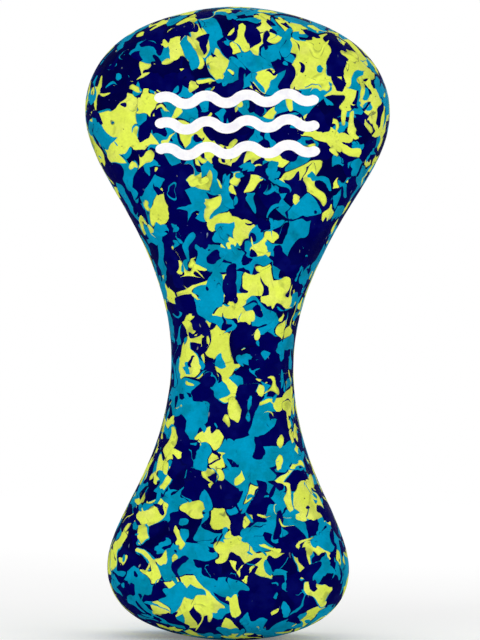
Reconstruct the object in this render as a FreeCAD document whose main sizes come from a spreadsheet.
import FreeCAD, Part
import math
import os
import Sketcher
from FreeCAD import Vector, Rotation, Placement

# Pull buoy, a leg float for swimming.
# Frame: origin at the centre of the overall size, +Z up along the length with
# the large lobe up, +X to the right, the printed front face towards -Y.
#
# Three slabs of foam are glued face to face with two thin films. All share one
# hourglass outline, and the two outer rims are rounded over. A transfer print
# of three separate wave bands lies on the front face.

# Driving dimensions in millimetres and degrees.
DIMENSIONS = [
    ("top_height", 120.0),
    ("bottom_height", -120.0),
    ("slab_thickness", 29.85),
    ("core_thickness", 29.70),
    ("film_thickness", 0.30),
    ("film_inset", 0.90),
    ("rim_radius", 16.0),
    ("seam_bevel", 0.60),
    ("print_thickness", 0.15),
    ("print_tilt", 2.5),
    ("print_centre_height", 74.6),
    ("print_row_pitch", 9.6),
    ("wave_chord", 7.6),   # width of one crest or trough along the centre line
    ("wave_angle", 42.0),  # slope of the centre line where it crosses its chord
    ("band_width", 3.8),
]

# Control points down the right side of the outline, between the top and bottom
# apex on the centre line. Crown and heel are level with the apexes, so the two
# sides meet smoothly.
# Columns: name, half width, height, and the share of the film inset by which
# the point moves towards -X and towards -Z.
OUTLINE_POINTS = [
    ("crown", 11.77, "=top_height", 0.0, 1.0),
    ("crown_corner", 47.44, 112.21, 0.55, 0.85),
    ("shoulder", 61.96, 81.50, 1.05, 0.10),
    ("upper_flank", 51.62, 57.19, 0.85, -0.50),
    ("lower_flank", 33.26, 30.30, 0.88, -0.45),
    ("waist", 20.04, -8.72, 1.0, 0.0),
    ("thigh_flank", 27.54, -52.55, 0.90, 0.42),
    ("hip", 51.19, -88.96, 1.03, 0.05),
    ("heel_corner", 39.87, -115.32, 0.55, -0.85),
    ("heel", 10.80, "=bottom_height", 0.0, -1.0),
]

HALF_WAVES = 8  # crests and troughs in one print band, starting with a crest

# Sketcher's codes for the points of a geometry, and for its built-in axes.
START, END, CENTRE = 1, 2, 3
ORIGIN = (-1, 1)
VERTICAL_AXIS = -2

doc = FreeCAD.newDocument("pull_buoy")
sheet = doc.addObject("Spreadsheet::Sheet", "Dims")
cells = list(DIMENSIONS)
for point, half_width, height, _, _ in OUTLINE_POINTS:
    cells += [(point + "_half_width", half_width), (point + "_height", height)]
for row, (alias, value) in enumerate(cells, 1):
    sheet.set("A%d" % row, alias)
    sheet.set("B%d" % row, str(value))
    sheet.setAlias("B%d" % row, alias)
doc.recompute()


def val(alias):
    return float(sheet.get(alias))


# Sketches and features

def new_body(label):
    return doc.addObject("PartDesign::Body", label)


def new_sketch(body, name):
    """Sketch with x along +X, y along +Z and its normal along -Y."""
    plane = next(feature for feature in body.Origin.OriginFeatures
                 if feature.Role == "XZ_Plane")
    sketch = body.newObject("Sketcher::SketchObject", name)
    sketch.AttachmentSupport = [(plane, "")]
    sketch.MapMode = "FlatFace"
    doc.recompute()
    return sketch


def bind(sketch, kind, target, name, value, expression):
    """Dimension that starts at a value and follows an expression."""
    number = sketch.addConstraint(Sketcher.Constraint(kind, *target, value))
    sketch.renameConstraint(number, name)
    sketch.setExpression("Constraints." + name, expression)


def join(sketch, *ends):
    sketch.addConstraint(Sketcher.Constraint("Coincident", *ends))


def pad(body, sketch, name, length, reverse=False, midplane=False):
    """Pad towards -Y, or towards +Y when reversed."""
    feature = body.newObject("PartDesign::Pad", name)
    feature.Profile = (sketch, [""])
    feature.setExpression("Length", length)
    feature.Reversed = reverse
    feature.Midplane = midplane
    body.Tip = feature
    doc.recompute()
    return feature


def edges_at(feature, depth):
    """Edges lying in the plane at this distance along the body's own Y."""
    names = []
    for number, edge in enumerate(feature.Shape.Edges, 1):
        box = edge.BoundBox
        if abs(box.YMin - depth) < 1e-4 and abs(box.YMax - depth) < 1e-4:
            names.append("Edge%d" % number)
    return names


def dress(body, kind, name, base, edges, size_property, expression):
    """Fillet or chamfer on the named edges of the base feature."""
    feature = body.newObject(kind, name)
    feature.Base = (base, edges)
    feature.setExpression(size_property, expression)
    body.Tip = feature
    doc.recompute()
    return feature


# Hourglass outline

def outline_stations(inset):
    """Name, x, z and inset shares of each control point from apex to apex."""
    points = [("top", 0.0, 1.0)]
    points += [(name, share_x, share_z)
               for name, _, _, share_x, share_z in OUTLINE_POINTS]
    points += [("bottom", 0.0, -1.0)]
    distance = val(inset) if inset else 0.0
    stations = []
    for name, share_x, share_z in points:
        on_axis = name in ("top", "bottom")
        x = 0.0 if on_axis else val(name + "_half_width") - share_x * distance
        z = val(name + "_height") - share_z * distance
        stations.append((name, x, z, share_x, share_z))
    return stations


def add_side(sketch, poles):
    """Cubic spline with equal weights; returns its control point circles."""
    span_ends = len(poles) - 2
    knots = [i / (span_ends - 1) for i in range(span_ends)]
    multiplicities = [4] + [1] * (span_ends - 2) + [4]
    curve = Part.BSplineCurve()
    curve.buildFromPolesMultsKnots(poles, multiplicities, knots, False, 3)
    spline = sketch.addGeometry(curve, False)
    circles = [sketch.addGeometry(Part.Circle(pole, Vector(0, 0, 1), 1.0), True)
               for pole in poles]
    links = [Sketcher.Constraint("Weight", circles[0], 1.0)]
    for circle in circles[1:]:
        links.append(Sketcher.Constraint("Equal", circles[0], circle))
    for i, circle in enumerate(circles):
        links.append(Sketcher.Constraint(
            "InternalAlignment:Sketcher::BSplineControlPoint",
            circle, CENTRE, spline, i))
    sketch.addConstraint(links)
    return circles


def outline(body, name, inset=None):
    """Closed outline: a spline down the right side and its mirror image on the
    left, drawn inwards by the inset dimension if one is named."""
    sketch = new_sketch(body, name)
    stations = outline_stations(inset)
    right, left = [
        add_side(sketch, [Vector(side * x, z, 0) for _, x, z, _, _ in stations])
        for side in (1.0, -1.0)]

    def bind_pole(circle, kind, alias, value, share):
        expression = "Dims." + alias
        if inset:
            expression += " - (%.3f) * Dims.%s" % (share, inset)
        bind(sketch, kind, (*ORIGIN, circle, CENTRE), alias, value, expression)

    for i, (point, x, z, share_x, share_z) in enumerate(stations):
        if point in ("top", "bottom"):
            sketch.addConstraint(Sketcher.Constraint(
                "PointOnObject", right[i], CENTRE, VERTICAL_AXIS))
            join(sketch, right[i], CENTRE, left[i], CENTRE)
            bind_pole(right[i], "DistanceY", point + "_height", z, share_z)
        else:
            bind_pole(right[i], "DistanceX", point + "_half_width", x, share_x)
            bind_pole(right[i], "DistanceY", point + "_height", z, share_z)
            sketch.addConstraint(Sketcher.Constraint(
                "Symmetric", right[i], CENTRE, left[i], CENTRE, VERTICAL_AXIS))
    doc.recompute()
    return sketch


# Foam and film

def core_slab():
    """Middle slab, with a small bevel where it meets each film."""
    body = new_body("core_foam_slab")
    slab = pad(body, outline(body, "core_outline"), "core_pad",
               "Dims.core_thickness", midplane=True)
    box = slab.Shape.BoundBox
    dress(body, "PartDesign::Chamfer", "core_seam_bevels", slab,
          edges_at(slab, box.YMin) + edges_at(slab, box.YMax),
          "Size", "Dims.seam_bevel")
    return body


def outer_slab(label, front):
    """Outer slab, with a rounded outer rim and a bevel at the glued side."""
    body = new_body(label)
    slab = pad(body, outline(body, label + "_outline"), label + "_pad",
               "Dims.slab_thickness", reverse=not front)
    box = slab.Shape.BoundBox
    outer, glued = (box.YMin, box.YMax) if front else (box.YMax, box.YMin)
    rim = dress(body, "PartDesign::Fillet", label + "_rim", slab,
                edges_at(slab, outer), "Radius", "Dims.rim_radius")
    dress(body, "PartDesign::Chamfer", label + "_seam_bevel", rim,
          edges_at(rim, glued), "Size", "Dims.seam_bevel")
    body.setExpression(
        "Placement.Base.y",
        "%d * (Dims.core_thickness / 2 + Dims.film_thickness)"
        % (-1 if front else 1))
    return body


def bond_film(label, front):
    """Adhesive film in a seam, a little smaller than the foam outline."""
    body = new_body(label)
    pad(body, outline(body, label + "_outline", "film_inset"), label + "_pad",
        "Dims.film_thickness", reverse=not front)
    body.setExpression("Placement.Base.y", "%d * Dims.core_thickness / 2"
                       % (-1 if front else 1))
    return body


# Transfer print

def wave_junction(i, side):
    """Where arcs meet on the upper (side 1) or lower (side -1) edge of a band:
    x and z, then the expressions for them."""
    angle = math.radians(val("wave_angle"))
    chords = i - HALF_WAVES / 2
    lean = -side / 2 if i % 2 == 0 else side / 2
    return (chords * val("wave_chord") + lean * val("band_width") * math.sin(angle),
            side / 2 * val("band_width") * math.cos(angle),
            "(%.1f) * Dims.wave_chord + (%.1f) * Dims.band_width"
            " * sin(Dims.wave_angle)" % (chords, lean),
            "(%.1f) * Dims.band_width * cos(Dims.wave_angle)" % (side / 2))


def wave_edge(sketch, tag, side):
    """Chain of arcs along one edge; returns its left and right end, each as
    (geometry, point code)."""
    centre_radius = val("wave_chord") / (2 * math.sin(math.radians(val("wave_angle"))))

    def bind_end(end, suffix, junction):
        x, z, x_expression, z_expression = junction
        bind(sketch, "DistanceX", (*ORIGIN, *end),
             "x_%s_%s" % (tag, suffix), x, x_expression)
        bind(sketch, "DistanceY", (*ORIGIN, *end),
             "z_%s_%s" % (tag, suffix), z, z_expression)

    first_end = last_end = None
    for i in range(HALF_WAVES):
        bulge = 1 if i % 2 == 0 else -1  # crest or trough
        widening = bulge * side / 2      # the outside of a bend is wider
        radius = centre_radius + widening * val("band_width")
        here, there = wave_junction(i, side), wave_junction(i + 1, side)
        left = Vector(here[0], here[1], 0)
        right = Vector(there[0], there[1], 0)
        half_span = (right - left).Length / 2
        rise = radius - math.sqrt(radius ** 2 - half_span ** 2)
        middle = (left + right) * 0.5 + Vector(0, bulge * rise, 0)
        arc = sketch.addGeometry(Part.Arc(left, middle, right), False)

        # A sketch arc runs anticlockwise, so its start may be at either side.
        starts_left = sketch.getPoint(arc, START).x < sketch.getPoint(arc, END).x
        left_end = (arc, START if starts_left else END)
        right_end = (arc, END if starts_left else START)
        bind_end(left_end, str(i), here)
        bind(sketch, "Radius", (arc,), "bend_%s_%d" % (tag, i), radius,
             "Dims.wave_chord / (2 * sin(Dims.wave_angle))"
             " + (%.1f) * Dims.band_width" % widening)
        if last_end:
            join(sketch, *last_end, *left_end)
        else:
            first_end = left_end
        last_end = right_end
    bind_end(last_end, "end", wave_junction(HALF_WAVES, side))
    return first_end, last_end


def wave_band(label, row_number):
    """Band of constant width along alternating crests and troughs, laid on the
    front face. Rows count upwards from the middle one."""
    body = new_body(label)
    sketch = new_sketch(body, label + "_shape")
    upper_ends = wave_edge(sketch, "top", 1)
    lower_ends = wave_edge(sketch, "low", -1)
    for upper, lower in zip(upper_ends, lower_ends):
        cap = sketch.addGeometry(Part.LineSegment(
            sketch.getPoint(*upper), sketch.getPoint(*lower)), False)
        join(sketch, cap, START, *upper)
        join(sketch, cap, END, *lower)
    doc.recompute()
    pad(body, sketch, label + "_pad", "Dims.print_thickness")

    # The tilt raises the right end; rows are stacked square to the tilted bands.
    body.Placement = Placement(Vector(), Rotation(Vector(0, -1, 0), val("print_tilt")))
    stack = "(%d) * Dims.print_row_pitch" % row_number
    body.setExpression("Placement.Base.x", "-1 * %s * sin(Dims.print_tilt)" % stack)
    body.setExpression("Placement.Base.y",
                       "-(Dims.core_thickness / 2 + Dims.film_thickness"
                       " + Dims.slab_thickness)")
    body.setExpression("Placement.Base.z",
                       "Dims.print_centre_height + %s * cos(Dims.print_tilt)" % stack)
    return body


parts = [
    core_slab(),
    outer_slab("front_foam_slab", front=True),
    outer_slab("rear_foam_slab", front=False),
    bond_film("front_bond_film", front=True),
    bond_film("rear_bond_film", front=False),
    wave_band("print_wave_upper", 1),
    wave_band("print_wave_middle", 0),
    wave_band("print_wave_lower", -1),
]
doc.recompute()

# Every object must be in order before anything is written.
bad = []
for obj in doc.Objects:
    state = [str(item) for item in obj.State]
    if "Invalid" in state or "Error" in state:
        bad.append("%s: %s" % (obj.Name, state))
for body in parts:
    shape = body.Shape
    if shape.isNull() or not shape.isValid():
        bad.append("%s: shape is null or not valid" % body.Label)
    elif len(shape.Solids) != 1:
        bad.append("%s: %d solids" % (body.Label, len(shape.Solids)))
if bad:
    raise RuntimeError("; ".join(bad))

os.makedirs("parts", exist_ok=True)
for body in parts:
    body.Shape.exportStep("parts/%s.step" % body.Label)
